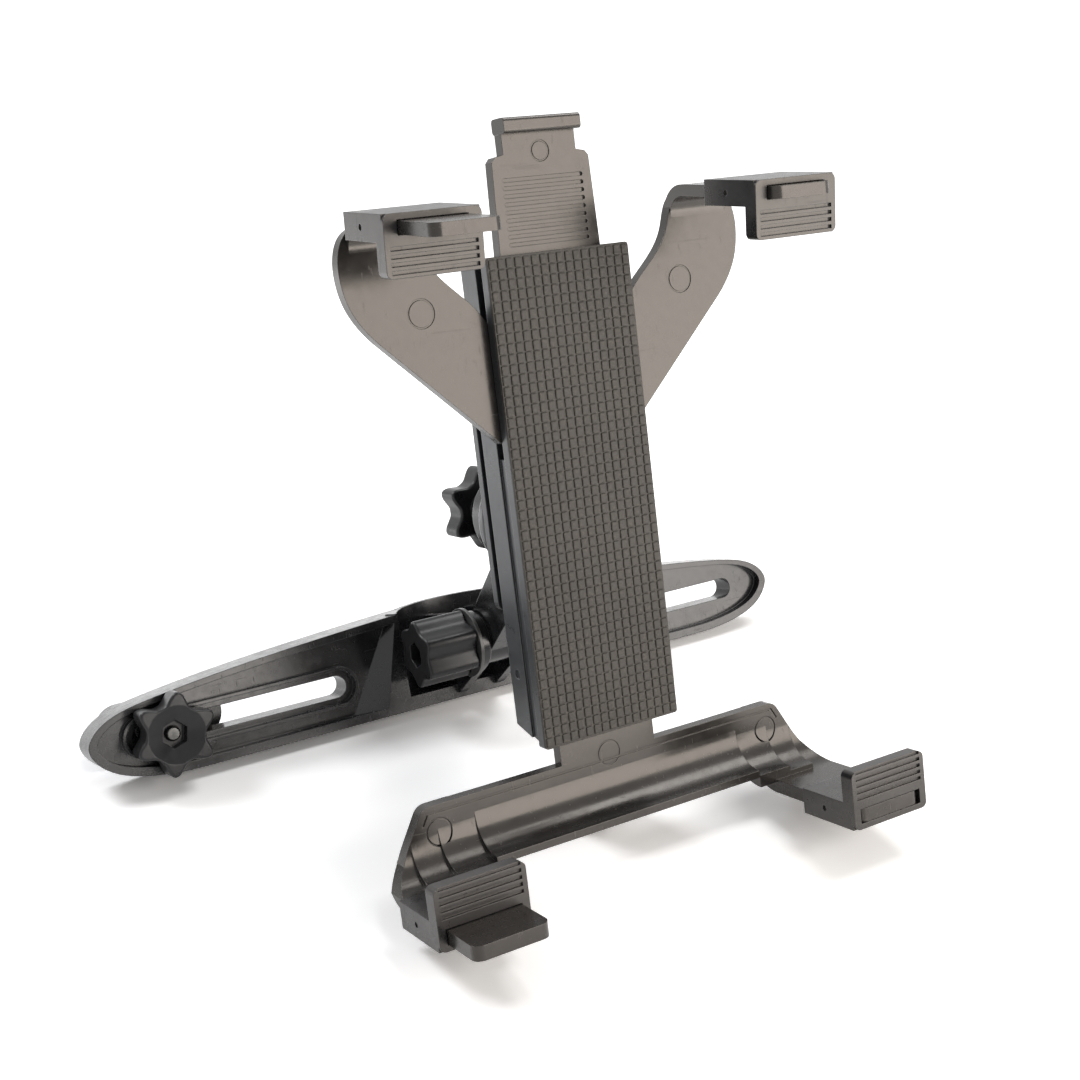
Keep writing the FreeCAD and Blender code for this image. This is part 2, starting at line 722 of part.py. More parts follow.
def floor_under(y):
    """Height of the floor in the upright holder, below a place at this depth."""
    a = math.radians(LEAN_DEG)
    return (y * math.sin(a) - HOLDER_Z) / math.cos(a)


def lower_foot():
    """Leg that reaches back from the crossbar and down. The holder stands on its end."""
    root = CARRIAGE_FRONT + 1.0
    front = FOOT_FRONT
    back = FOOT_FRONT + FOOT_THICK
    under = [(root, FOLD_Z + 1.0), (root, FOLD_Z - 5.0), (front, FOLD_Z - 11.0), (front, floor_under(front))]
    over = [(back, floor_under(back)), (back, FOLD_Z - 7.0), (back - 4.0, FOLD_Z - 4.0)]
    foot = side_prism(under + over, -FOOT_HALF, FOOT_HALF)
    return rounded(foot, 2.0, lambda e: along(e, "z") and e.BoundBox.YMin > front - 1.0)


# Jaws

def jaw(tongue_width, tongue_thick, lip_height):
    """Jaw drawn along +Z, the way it is pulled out. Its lip ends at 0 and hangs towards -Y."""
    half = JAW_WIDTH / 2
    body_half = tongue_thick / 2 + JAW_GAP + JAW_WALL
    sleeve = box(-half, half, -body_half, body_half, -JAW_LENGTH, -1.0)
    lip = box(-half, half, body_half - lip_height, body_half, -JAW_LIP_THICK, 0)
    lip = rounded(lip, 2.0, lambda e: along(e, "z"))
    body = fuse([sleeve, lip])
    window_half = tongue_width / 2 + JAW_GAP
    window_high = tongue_thick / 2 + JAW_GAP
    window = box(-window_half, window_half, -window_high, window_high, -JAW_LENGTH - 1, 1)
    tools = [window]
    middle_z = -JAW_LENGTH / 2 - 2.0
    for x in (-half - 1.0, half - DIMPLE_DEPTH):
        tools.append(rod(DIMPLE_R, 1.0 + DIMPLE_DEPTH, V(x, 0, middle_z), V(1, 0, 0)))
    first = -body_half - 1.6
    for i in range(RIDGE_COUNT):
        y = first - RIDGE_PITCH * i
        tools.append(box(-half + 1.6, half - 1.6, y - 0.55, y + 0.55, -0.8, 1))
    return cut(body, tools)


def lower_jaw(side, out):
    body = jaw(LOWER_TONGUE_WIDTH, LOWER_TONGUE_THICK, LOWER_LIP_HEIGHT)
    body.rotate(V(0, 0, 0), V(1, 0, 0), 90)
    body.rotate(V(0, 0, 0), V(0, 1, 0), 180)
    z = tongue_top() - LOWER_TONGUE_THICK / 2
    body.translate(V(side * LOWER_TONGUE_X, -out, z))
    return body


def upper_tongue_line(out):
    """Height of the middle of the upper tongue at this distance in front of the pad's face."""
    a = math.radians(90.0 + UPPER_DROOP_DEG)
    r = UPPER_CURL_R + UPPER_TONGUE_THICK / 2
    y = CARRIAGE_FRONT - UPPER_CURL_R + r * math.cos(a)
    z = UPPER_CURL_Z + r * math.sin(a)
    return z - math.tan(math.radians(UPPER_DROOP_DEG)) * (y + out)


def upper_jaw(side, out):
    body = jaw(UPPER_TONGUE_WIDTH, UPPER_TONGUE_THICK, UPPER_LIP_HEIGHT)
    body.rotate(V(0, 0, 0), V(1, 0, 0), 90 + UPPER_DROOP_DEG)
    body.translate(V(side * UPPER_TONGUE_X, -out, upper_tongue_line(out)))
    return body


# Headrest bar

def bar_upper_points(inset):
    """Upper edge of the right half of the leaf, from the middle to the tip."""
    tip = BAR_HALF - inset
    rise = BAR_MID_HIGH - inset - BAR_TIP_Z
    shares = [(0.0, 1.0), (0.30, 0.915), (0.54, 0.795), (0.71, 0.68)]
    shares += [(0.85, 0.553), (0.945, 0.386), (0.987, 0.18), (1.0, 0.0)]
    return [(tip * a, BAR_TIP_Z + rise * b) for a, b in shares]


def bar_lower_points(inset):
    """Lower edge of the right half, from the tip to the straight foot."""
    tip = BAR_HALF - inset
    drop = BAR_TIP_Z - inset
    shares = [(0.986, 0.34), (0.952, 0.62), (0.9, 0.82), (0.83, 0.95), (0.74, 1.0)]
    return [(tip * a, BAR_TIP_Z - drop * b) for a, b in shares]


def bar_outline(inset, y):
    """Leaf outline: a curve round each end and a straight foot. The inset makes a smaller one inside it."""
    places = bar_upper_points(inset) + bar_lower_points(inset)
    points = [V(x, y, z) for x, z in places]
    curve = Part.BSplineCurve()
    curve.interpolate(Points=points, InitialTangent=V(1, 0, 0), FinalTangent=V(-1, 0, 0))
    right = curve.toShape()
    left = mirrored(right)
    foot = Part.makeLine(points[-1], V(-points[-1].x, y, points[-1].z))
    edges = Part.__sortEdges__([right, left, foot])
    return Part.Face(Part.Wire(edges))


def bar_plate():
    plate = bar_outline(0, BAR_FRONT).extrude(V(0, BAR_DEPTH, 0))
    recess = bar_outline(RIM_WIDTH, BAR_FRONT - 1).extrude(V(0, RECESS + 1, 0))
    return cut(plate, [recess])


def collar():
    """Raised ring round the left slot."""
    y0 = BAR_FRONT + COLLAR_BELOW_RIM
    y1 = BAR_FRONT + RECESS + 0.5
    outer = stadium(-COLLAR_OUTER, -COLLAR_INNER, SLOT_Z, COLLAR_HALF_HEIGHT, y0, y1)
    w = COLLAR_WALL
    inner = stadium(w - COLLAR_OUTER, -COLLAR_INNER - w, SLOT_Z, COLLAR_HALF_HEIGHT - w, y0 - 1, y1 + 1)
    return cut(outer, [inner])


def slot(side):
    a, b = (SLOT_INNER, SLOT_OUTER) if side > 0 else (-SLOT_OUTER, -SLOT_INNER)
    return stadium(a, b, SLOT_Z, SLOT_HALF_HEIGHT, BAR_FRONT - 20, BAR_FRONT + BAR_DEPTH + 5)


def hub_block():
    """Middle of the bar, flush with its rim: sloping sides, wide at the foot and narrow at the top."""
    y = BAR_FRONT
    inner = y + RECESS + 1.0
    foot = [V(-HUB_FOOT_HALF, inner, 0), V(HUB_FOOT_HALF, inner, 0)]
    foot += [V(HUB_FRONT_HALF, y, 0), V(-HUB_FRONT_HALF, y, 0)]
    top_z = BAR_MID_HIGH - 0.4
    top = [V(-HUB_TOP_HALF, inner, top_z), V(HUB_TOP_HALF, inner, top_z)]
    top += [V(HUB_TOP_FRONT_HALF, y, top_z), V(-HUB_TOP_FRONT_HALF, y, top_z)]
    return Part.makeLoft([polygon(foot), polygon(top)], True, True)


def bowl_cylinder(more, z0, z1):
    """Upright cylinder of the bowl's round wall, made larger by this much."""
    r = (SCOOP_HALF ** 2 + SCOOP_DEPTH ** 2) / (2 * SCOOP_DEPTH)
    return rod(r + more, z1 - z0, V(0, BAR_FRONT + SCOOP_DEPTH - r, z0), V(0, 0, 1))


def bowl_back():
    """The bowl's wall where it bulges out behind the bar."""
    top = BAR_MID_HIGH - 0.4
    keep = box(-60, 60, BAR_FRONT + BAR_DEPTH - 1.0, BAR_FRONT + 60, 0, top)
    return bowl_cylinder(BOWL_WALL, SCOOP_FLOOR - BOWL_WALL, top).common(keep)


def scoop():
    """Bowl cut down into the hub from above and from the front."""
    keep = box(-SCOOP_HALF, SCOOP_HALF, BAR_FRONT - 30, BAR_FRONT + 60, SCOOP_FLOOR, 60)
    return bowl_cylinder(0, SCOOP_FLOOR, 60).common(keep)


def lug(x0, x1):
    """Hinge ear: a plate across X from the bowl's wall to the tilt axis."""
    hy, hz = hinge_in_bar()
    eye = rod_x(LUG_R, hy, hz, x0, x1)
    back = BAR_FRONT + SCOOP_DEPTH + BOWL_WALL
    web = [(hy, hz + LUG_R), (back, hz + 8.0), (back, 2.0), (hy + 14.0, 2.0), (hy - 5.0, hz - 9.8)]
    web = side_prism(web, x0, x1).common(bowl_cylinder(BOWL_WALL / 2, 2.0, 60))
    return fuse([eye, web])


def hinge_stack():
    """Places across X of the washers, lugs and tongue, from the long knob to the bolt's head."""
    a = TILT_KNOB_X + TILT_KNOB_LENGTH
    b = a + TILT_WASHER
    c = b + LUG_THICK
    d = c + THIN_WASHER
    e = d + TONGUE_THICK
    f = e + 0.3
    g = f + LUG_THICK
    return a, b, c, d, e, f, g


def headrest_bar():
    a, b, c, d, e, f, g = hinge_stack()
    hy, hz = hinge_in_bar()
    body = fuse([bar_plate(), collar(), hub_block(), bowl_back()])
    body = cut(body, [scoop(), slot(1), slot(-1)])
    body = fuse([body, lug(b, c), lug(f, g)])
    hole = rod_x(TILT_BOLT_R + RUNNING_GAP, hy, hz, b - 1, g + 1)
    return cut(body, [hole]).removeSplitter()


# Tilt hinge

def tilt_knob():
    body = star_body(TILT_KNOB_R, TILT_KNOB_VALLEY, 1.2, TILT_KNOB_LENGTH, 0.8)
    pocket = hexagon(HEX_FLATS, HEX_DEPTH + 1, V(0, 0, TILT_KNOB_LENGTH - HEX_DEPTH), V(0, 0, 1))
    hole = rod(TILT_BOLT_R + RUNNING_GAP, TILT_KNOB_LENGTH + 2, V(0, 0, -1), V(0, 0, 1))
    body = cut(body, [pocket, hole])
    body.rotate(V(0, 0, 0), V(0, 0, 1), 10)
    body.rotate(V(0, 0, 0), V(0, 1, 0), -90)
    body.translate(V(TILT_KNOB_X + TILT_KNOB_LENGTH, HINGE_Y, HINGE_Z))
    return body


def ring_x(outer, inner, x0, x1):
    return cut(rod_x(outer, HINGE_Y, HINGE_Z, x0, x1), [rod_x(inner, HINGE_Y, HINGE_Z, x0 - 1, x1 + 1)])


def tilt_washer():
    a, b, c, d, e, f, g = hinge_stack()
    return ring_x(TILT_WASHER_R, TILT_BOLT_R + 0.3, a, b)


def thin_washer():
    a, b, c, d, e, f, g = hinge_stack()
    return ring_x(THIN_WASHER_R, TILT_BOLT_R + 0.3, c, d)


def tilt_bolt():
    a, b, c, d, e, f, g = hinge_stack()
    start = TILT_KNOB_X + 2.5
    shank = rod_x(TILT_BOLT_R, HINGE_Y, HINGE_Z, start, g + 1)
    shank = shank.makeChamfer(0.5, [e2 for e2 in shank.Edges if e2.BoundBox.XMax < start + 0.01])
    head = rod_x(5.2, HINGE_Y, HINGE_Z, g, g + 4.0)
    head = rounded(head, 1.0, lambda edge: edge.BoundBox.XMin > g + 3.9)
    key = hexagon(4.0, 3.0, V(g + 2.0, HINGE_Y, HINGE_Z), V(1, 0, 0))
    return cut(fuse([shank, head]), [key])


def tilt_arm():
    """Arm in the holder's upright frame: barrel on the tilt axis, web and round head on the swivel axis."""
    a, b, c, d, e, f, g = hinge_stack()
    hy, hz = unlean(HINGE_Y, HINGE_Z)
    x0 = d - HOLDER_X
    x1 = e - HOLDER_X
    barrel = rod_x(BARREL_R, hy, hz, x0, x1)
    y0 = head_start()
    y1 = y0 + HEAD_LENGTH
    head = rod_y(HEAD_R, 0, SWIVEL_Z, y0, y1)
    head = rounded(head, 1.2, lambda edge: flat_in_y(edge, y1))
    boss = rod_y(HEAD_BOSS_R, 0, SWIVEL_Z, y0, head_end())
    web = [(hy - 9.0, hz - 3.0), (hy + 4.0, hz - 8.6), (hy + 9.0, hz + 3.0), (y1 - 1.0, SWIVEL_Z + 9.0)]
    web += [(y0 + 3.0, SWIVEL_Z + 9.0), (y0 + 3.0, SWIVEL_Z - 13.0)]
    web = side_prism(web, x0, x1 - 1.0)
    hole = rod_y(SWIVEL_BOLT_R + RUNNING_GAP, 0, SWIVEL_Z, y0 - 5, head_end() + 5)
    knob_room = rod_y(STAR_R + 1.2, 0, SWIVEL_Z, head_end(), head_end() + 40)
    axle = rod_x(TILT_BOLT_R + RUNNING_GAP, hy, hz, x0 - 5, x1 + 5)
    barrel_side = rod_x(BARREL_R + 20, hy, hz, x1, x1 + 40)
    body = fuse([barrel, head, boss, web])
    clear = rod_x(TILT_WASHER_R + 0.6, hy, hz, -30, x0)
    return cut(body, [hole, knob_room, axle, barrel_side, clear])


# Post clamps

def clamp_span(side):
    """How far the plate reaches to the left and right of its bolt. Its seat is on the inner side."""
    return (CLAMP_SHORT_END, CLAMP_LONG_END) if side < 0 else (CLAMP_LONG_END, CLAMP_SHORT_END)


def clamp_x(side):
    return LEFT_CLAMP_X if side < 0 else RIGHT_CLAMP_X


def clamp_front():
    return BAR_FRONT + BAR_DEPTH + CLAMP_GAP


def post_place(side):
    """Middle of the post's seat, as X and Y."""
    return clamp_x(side) - side * POST_OFFSET, clamp_front() + SEAT_DEPTH - POST_R


def clamp_plate(side):
    left, right = clamp_span(side)
    x = clamp_x(side)
    y0 = clamp_front()
    plate = stadium(x - left, x + right, SLOT_Z, CLAMP_HALF_HEIGHT, y0, y0 + CLAMP_THICK)
    plate = rounded(plate, 1.5, lambda e: flat_in_y(e, y0 + CLAMP_THICK))
    px, py = post_place(side)
    seat = rod(POST_R + LINER_THICK, 60, V(px, py, SLOT_Z - 30), V(0, 0, 1))
    hole = rod_y(CLAMP_BOLT_R + RUNNING_GAP, x, SLOT_Z, y0 - 1, y0 + CLAMP_THICK + 1)
    return cut(plate, [seat, hole])


def clamp_liner(side):
    """Rubber skin in the plate's seat. The post lies against it."""
    px, py = post_place(side)
    y0 = clamp_front()
    low = SLOT_Z - CLAMP_HALF_HEIGHT
    skin = rod(POST_R + LINER_THICK, 2 * CLAMP_HALF_HEIGHT, V(px, py, low), V(0, 0, 1))
    core = rod(POST_R, 60, V(px, py, SLOT_Z - 30), V(0, 0, 1))
    behind = box(px - 10, px + 10, y0, y0 + 20, low, low + 2 * CLAMP_HALF_HEIGHT)
    return cut(skin, [core]).common(behind)


def clamp_bolt(side):
    x = clamp_x(side)
    y1 = clamp_front() + CLAMP_THICK
    start = shoe_front() - CLAMP_BOSS - STAR_THICK + BOLT_BELOW_KNOB
    shank = rod_y(CLAMP_BOLT_R, x, SLOT_Z, start, y1 + 1)
    shank = shank.makeChamfer(0.5, [e for e in shank.Edges if flat_in_y(e, start)])
    head = rod_y(5.6, x, SLOT_Z, y1, y1 + 2.6)
    head = rounded(head, 1.6, lambda e: flat_in_y(e, y1 + 2.6))
    return fuse([shank, head])


def shoe_front():
    """Where the shoe's round face ends, just in front of the bar's rim. The knob bears on it."""
    return BAR_FRONT - SHOE_PROUD


def slot_shoe(side):
    """Guide in the slot: a round flange inside the collar and a body that fills the slot's height."""
    x = clamp_x(side)
    y0 = shoe_front()
    r = SLOT_HALF_HEIGHT - SHOE_GAP
    inside = COLLAR_HALF_HEIGHT - COLLAR_WALL - SHOE_GAP
    flange = rod_y(inside, x, SLOT_Z, y0, BAR_FRONT + RECESS)
    body = stadium(x - 8.0, x + 8.0, SLOT_Z, r, BAR_FRONT + RECESS - 0.5, BAR_FRONT + BAR_DEPTH)
    hole = rod_y(CLAMP_BOLT_R + RUNNING_GAP, x, SLOT_Z, y0 - 1, BAR_FRONT + BAR_DEPTH + 1)
    return cut(fuse([flange, body]), [hole])


def clamp_bush(side):
    """Rubber bush round the bolt that holds the plate off the bar's back."""
    x = clamp_x(side)
    y0 = BAR_FRONT + BAR_DEPTH
    bush = rod_y(5.0, x, SLOT_Z, y0, clamp_front())
    hole = rod_y(CLAMP_BOLT_R + 0.3, x, SLOT_Z, y0 - 1, clamp_front() + 1)
    return cut(bush, [hole])


def clamp_knob(side):
    knob = star_knob(CLAMP_BOLT_R, CLAMP_BOSS, 18.0 if side < 0 else 44.0)
    knob.rotate(V(0, 0, 0), V(1, 0, 0), 90)
    knob.translate(V(clamp_x(side), shoe_front(), SLOT_Z))
    return knob


# All the pieces

def pieces():
    parts = {}
    parts["headrest_bar"] = lean_bar(headrest_bar())
    parts["tilt_bolt"] = tilt_bolt()
    parts["tilt_washer"] = tilt_washer()
    parts["thin_washer"] = thin_washer()
    parts["tilt_knob"] = tilt_knob()
    parts["tilt_arm"] = lean(tilt_arm())
    parts["swivel_washer"] = lean(swivel_washer())
    parts["rear_knob"] = lean(rear_star_knob())
    parts["swivel_bolt"] = lean(swivel_bolt())
    parts["swivel_base"] = lean(swivel_base())
    parts["swivel_disc"] = lean(swivel_disc())
    parts["back_plate"] = lean(back_plate())
    parts["plate_screws"] = lean(plate_screws())
    parts["block_housing"] = lean(block_housing())
    parts["front_cover"] = lean(front_cover())
    parts["rubber_pad"] = lean(rubber_pad())
    parts["upper_carriage"] = lean(upper_carriage())
    parts["lower_carriage"] = lean(lower_carriage())
    parts["upper_left_jaw"] = lean(upper_jaw(-1, UPPER_JAW_IN))
    parts["upper_right_jaw"] = lean(upper_jaw(1, UPPER_JAW_OUT))
    parts["lower_left_jaw"] = lean(lower_jaw(-1, LOWER_JAW_IN))
    parts["lower_right_jaw"] = lean(lower_jaw(1, LOWER_JAW_OUT))
    for side, word in ((-1, "left"), (1, "right")):
        parts[word + "_clamp_plate"] = lean_bar(clamp_plate(side))
        parts[word + "_clamp_liner"] = lean_bar(clamp_liner(side))
        parts[word + "_clamp_bolt"] = lean_bar(clamp_bolt(side))
        parts[word + "_clamp_bush"] = lean_bar(clamp_bush(side))
        parts[word + "_slot_shoe"] = lean_bar(slot_shoe(side))
        parts[word + "_star_knob"] = lean_bar(clamp_knob(side))
    return parts


def middle(parts):
    """Middle of the whole on the floor, which becomes the origin."""
    whole = None
    for shape in parts.values():
        b = shape.optimalBoundingBox(False, False)
        if whole is None:
            whole = FreeCAD.BoundBox(b)
        else:
            whole.add(b)
    return V((whole.XMin + whole.XMax) / 2, (whole.YMin + whole.YMax) / 2, whole.ZMin)


os.makedirs("parts", exist_ok=True)
PARTS = pieces()
ORIGIN = middle(PARTS)
print("origin moved by", round(ORIGIN.x, 3), round(ORIGIN.y, 3), round(ORIGIN.z, 3))
for name, shape in PARTS.items():
    shape.translate(V(-ORIGIN.x, -ORIGIN.y, -ORIGIN.z))
    shape.exportStep("parts/" + name + ".step")
    b = shape.BoundBox
    print(name, len(shape.Solids), "solids", round(b.XLength, 1), round(b.YLength, 1), round(b.ZLength, 1), shape.isValid())
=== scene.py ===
# %% [markdown]
# # A tablet holder for a car headrest
# Two clamps grip the posts of a headrest and carry a leaf-shaped bar. A short arm on a tilt hinge
# holds a block with a rubber pad, and two sliding carriages end in four jaws that grip the tablet.
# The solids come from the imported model, which is loaded first and is never moved or reshaped here.
# This script gives each of them its finish, and makes the one piece that a solid can't show: the
# embossed rubber.

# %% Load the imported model
import math
import bmesh
import bpy
from mathutils import Matrix, Vector


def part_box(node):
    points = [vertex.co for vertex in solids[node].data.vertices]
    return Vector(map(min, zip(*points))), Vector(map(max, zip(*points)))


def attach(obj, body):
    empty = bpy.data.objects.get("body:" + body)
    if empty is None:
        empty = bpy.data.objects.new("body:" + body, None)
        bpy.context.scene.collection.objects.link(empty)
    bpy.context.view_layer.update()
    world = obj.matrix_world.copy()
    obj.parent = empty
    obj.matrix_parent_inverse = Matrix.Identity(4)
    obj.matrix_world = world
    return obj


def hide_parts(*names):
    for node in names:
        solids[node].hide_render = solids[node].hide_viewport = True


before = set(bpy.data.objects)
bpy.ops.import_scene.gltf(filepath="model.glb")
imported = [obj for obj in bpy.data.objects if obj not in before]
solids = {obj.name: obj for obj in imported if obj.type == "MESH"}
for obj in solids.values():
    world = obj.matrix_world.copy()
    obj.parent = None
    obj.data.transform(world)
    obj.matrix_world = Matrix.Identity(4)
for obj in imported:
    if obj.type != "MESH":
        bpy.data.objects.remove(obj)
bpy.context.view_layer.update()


# %% [markdown]
# ## The camera
# The photograph looks down a little, from the left. The camera's place was worked out beforehand
# from the pad's corners and the ends of the bar, so it is written here as plain numbers. A long
# lens keeps the far end of the bar nearly as large as the near one, as in the photograph. The two
# small helpers put an object into the scene and turn it to face somewhere. The lamps use them too.

# %% Set up the camera
EYE = Vector((-0.2599, -0.41385, 0.2798))
TURN = math.radians(31.34)
DIP = math.radians(21.48)
LENS_MM = 53.33
SENSOR_MM = 36.0
NEAREST = 0.01


def new_object(name, data):
    thing = bpy.data.objects.new(name, data)
    bpy.context.scene.collection.objects.link(thing)
    return thing


def put_facing(thing, place, direction):
    thing.location = place
    thing.rotation_mode = "QUATERNION"
    thing.rotation_quaternion = direction.to_track_quat("-Z", "Y")


look = Vector((math.sin(TURN) * math.cos(DIP), math.cos(TURN) * math.cos(DIP), -math.sin(DIP)))
camera = new_object("camera", bpy.data.cameras.new("camera"))
put_facing(camera, EYE, look)
camera.data.sensor_width = SENSOR_MM
camera.data.lens = LENS_MM
camera.data.clip_start = NEAREST
bpy.context.scene.camera = camera
print("camera looks along", [round(c, 3) for c in look])

# %% [markdown]
# ## Tools for trees of nodes
# The room, the floor and every finish are small trees of nodes. These helpers keep the recipes
# readable: one empties a tree, one adds a node and sets its inputs, one joins two sockets, and the
# others stretch, combine and blend what flows between them. Colours are written as three numbers.

# %% Helpers for nodes
MIX_FIRST, MIX_SECOND, MIX_RESULT = 6, 7, 2


def opaque(colour):
    return tuple(colour) + (1.0,)


def empty_tree(owner):
    owner.use_nodes = True
    owner.node_tree.nodes.clear()
    return owner.node_tree


def add(tree, kind, inputs=None, **settings):
    node = tree.nodes.new(kind)
    for key, value in settings.items():
        setattr(node, key, value)
    for key, value in (inputs or {}).items():
        node.inputs[key].default_value = value
    return node


def join(tree, source, target):
    tree.links.new(source, target)


def spread(tree, value, from_low, from_high, to_low, to_high, **settings):
    ends = {"From Min": from_low, "From Max": from_high, "To Min": to_low, "To Max": to_high}
    ramp = add(tree, "ShaderNodeMapRange", ends, **settings)
    join(tree, value, ramp.inputs["Value"])
    return ramp.outputs["Result"]


def combine(tree, how, first, second):
    """One step of arithmetic; a sum or a maximum is kept between 0 and 1."""
    step = add(tree, "ShaderNodeMath", operation=how, use_clamp=(how in ("ADD", "MAXIMUM")))
    join(tree, first, step.inputs[0])
    if isinstance(second, float):
        step.inputs[1].default_value = second
    else:
        join(tree, second, step.inputs[1])
    return step.outputs[0]


def blend_colour(tree, amount, first, second):
    mix = add(tree, "ShaderNodeMix", data_type="RGBA")
    join(tree, amount, mix.inputs[0])
    for index, value in ((MIX_FIRST, first), (MIX_SECOND, second)):
        if isinstance(value, tuple):
            mix.inputs[index].default_value = opaque(value)
        else:
            join(tree, value, mix.inputs[index])
    return mix.outputs[MIX_RESULT]


print("helpers ready")

# %% [markdown]
# ## The light
# Black plastic shows the room more than its own colour. A pale room and three large soft lamps give
# it something broad to mirror. One hangs behind the left end: it picks out the rims and throws the
# soft shadow forward. One overhead on the right draws the light line along the cove of the
# crossbar. A tall panel in front on the right starts at the table and leans away, and its
# reflection turns every face that looks at the tablet a warm grey. The room is white where the
# camera sees it, directly or mirrored in plastic and steel, and dimmer as a light.

# %% Light the room
WHITE = (1.0, 1.0, 1.0)
COOL_WHITE = (0.97, 0.98, 1.0)
WARM_WHITE = (1.0, 0.94, 0.88)
SEEN_ROOM = 1.0
ROOM_LIGHT = 0.28

# Name, place, the point that it faces, width and height in metres, watts, colour
LAMPS = (
    ("lamp overhead", (0.44, 0.04, 0.84), (0.0, 0.0, 0.05), 0.4, 0.4, 3.2, WHITE),
    ("lamp behind left", (-0.50, 0.62, 0.78), (0.0, 0.0, 0.05), 0.4, 0.4, 6.0, COOL_WHITE),
    ("panel front right", (0.28, -0.52, 0.28), (-0.10, 0.22, 0.70), 0.5, 0.7, 6.6, WARM_WHITE),
)


def seen_rays(tree):
    """1 for what the camera sees, also in a shiny or a clear surface, and 0 for every other ray."""
    path = add(tree, "ShaderNodeLightPath")
    seen = path.outputs["Is Camera Ray"]
    for kind in ("Is Glossy Ray", "Is Transmission Ray"):
        seen = combine(tree, "MAXIMUM", seen, path.outputs[kind])
    return seen


def white_room():
    world = bpy.data.worlds.new("white room")
    bpy.context.scene.world = world
    tree = empty_tree(world)
    out = add(tree, "ShaderNodeOutputWorld")
    mix = add(tree, "ShaderNodeMixShader")
    join(tree, seen_rays(tree), mix.inputs[0])
    for index, strength in ((1, ROOM_LIGHT), (2, SEEN_ROOM)):
        light = add(tree, "ShaderNodeBackground", {"Color": opaque(WHITE), "Strength": strength})
        join(tree, light.outputs[0], mix.inputs[index])
    join(tree, mix.outputs[0], out.inputs["Surface"])


def soft_lamp(name, place, aim, width, height, watts, colour):
    data = bpy.data.lights.new(name, "AREA")
    data.shape = "RECTANGLE"
    data.size = width
    data.size_y = height
    data.energy = watts
    data.color = colour
    put_facing(new_object(name, data), place, Vector(aim) - Vector(place))


white_room()
for lamp in LAMPS:
    soft_lamp(*lamp)

# %% [markdown]
# ## The floor
# The holder stands on a white table that runs out of the picture on every side. One large flat
# face does that. The photograph is exposed so far that its table is pure white except right under
# the object, so the floor's own white is lifted for what is seen, and the soft shadow stays.
# Farther off a glow grows to the plain white of the room, so that no horizon shows.

# %% Lay the floor
FLOOR_HALF = 6.0
FLOOR_WHITE = 0.97
SEEN_WHITE = 1.36
FADE_FROM = 0.16
FADE_TO = 0.60
GLOW_NEAR = 0.04


def seen_white(tree):
    """The floor's own white, lifted for what is seen and plain for every other ray."""
    return spread(tree, seen_rays(tree), 0.0, 1.0, FLOOR_WHITE, SEEN_WHITE)


def seen_glow(tree):
    """A little near the middle of the floor and 1 beyond the fade, only for what is seen."""
    place = add(tree, "ShaderNodeTexCoord")
    far = add(tree, "ShaderNodeVectorMath", operation="LENGTH")
    join(tree, place.outputs["Object"], far.inputs[0])
    glow = spread(tree, far.outputs["Value"], FADE_FROM, FADE_TO, GLOW_NEAR, 1.0,
                  interpolation_type="SMOOTHSTEP")
    return combine(tree, "MULTIPLY", glow, seen_rays(tree))


def floor_finish():
    finish = bpy.data.materials.new("floor_white")
    tree = empty_tree(finish)
    out = add(tree, "ShaderNodeOutputMaterial")
    matt = add(tree, "ShaderNodeBsdfDiffuse")
    join(tree, seen_white(tree), matt.inputs["Color"])
    glow = add(tree, "ShaderNodeEmission")
    join(tree, seen_glow(tree), glow.inputs["Strength"])
    both = add(tree, "ShaderNodeAddShader")
    join(tree, matt.outputs[0], both.inputs[0])
    join(tree, glow.outputs[0], both.inputs[1])
    join(tree, both.outputs[0], out.inputs["Surface"])
    return finish


def floor():
    mesh = bpy.data.meshes.new("floor")
    corners = [(x * FLOOR_HALF, y * FLOOR_HALF, 0) for x, y in ((-1, -1), (1, -1), (1, 1), (-1, 1))]
    mesh.from_pydata(corners, [], [(0, 1, 2, 3)])
    sheet = new_object("floor", mesh)
    mesh.materials.append(floor_finish())


floor()
print("floor laid at z = 0")

# %% [markdown]
# ## Patterns and soft edges
# All patterns read Object coordinates, in metres, so a scale of 1000 gives grains of about a
# millimetre. No moulding has a knife edge: each corner is rounded by a few tenths of a millimetre
# and catches a thin line of light. The Bevel node rounds the shading there without touching the
# solid. Where the rounded direction departs from the flat one, there is an edge, so the same node
# also says where the plastic is rubbed a little paler. EDGE_FROM and EDGE_FULL are the cosines
# between the two directions at which the rubbing starts and is full.

# %% Grain, bump, rounded edges and their mask
EDGE_SAMPLES = 6
EDGE_FROM = 0.99
EDGE_FULL = 0.80


def grain(tree, scale, detail=2.0, stretch=(1.0, 1.0, 1.0), rough=0.5):
    place = add(tree, "ShaderNodeTexCoord")
    turn = add(tree, "ShaderNodeMapping", {"Scale": stretch})
    join(tree, place.outputs["Object"], turn.inputs["Vector"])
    noise = add(tree, "ShaderNodeTexNoise", {"Scale": scale, "Detail": detail, "Roughness": rough})
    join(tree, turn.outputs["Vector"], noise.inputs["Vector"])
    return noise.outputs["Fac"]


def rounded_edge(tree, radius):
    bevel = add(tree, "ShaderNodeBevel", {"Radius": radius}, samples=EDGE_SAMPLES)
    return bevel.outputs["Normal"]


def rubbed_edge(tree, rounded):
    flat = add(tree, "ShaderNodeNewGeometry")
    dot = add(tree, "ShaderNodeVectorMath", operation="DOT_PRODUCT")
    join(tree, rounded, dot.inputs[0])
    join(tree, flat.outputs["Normal"], dot.inputs[1])
    return spread(tree, dot.outputs["Value"], EDGE_FROM, EDGE_FULL, 0.0, 1.0)


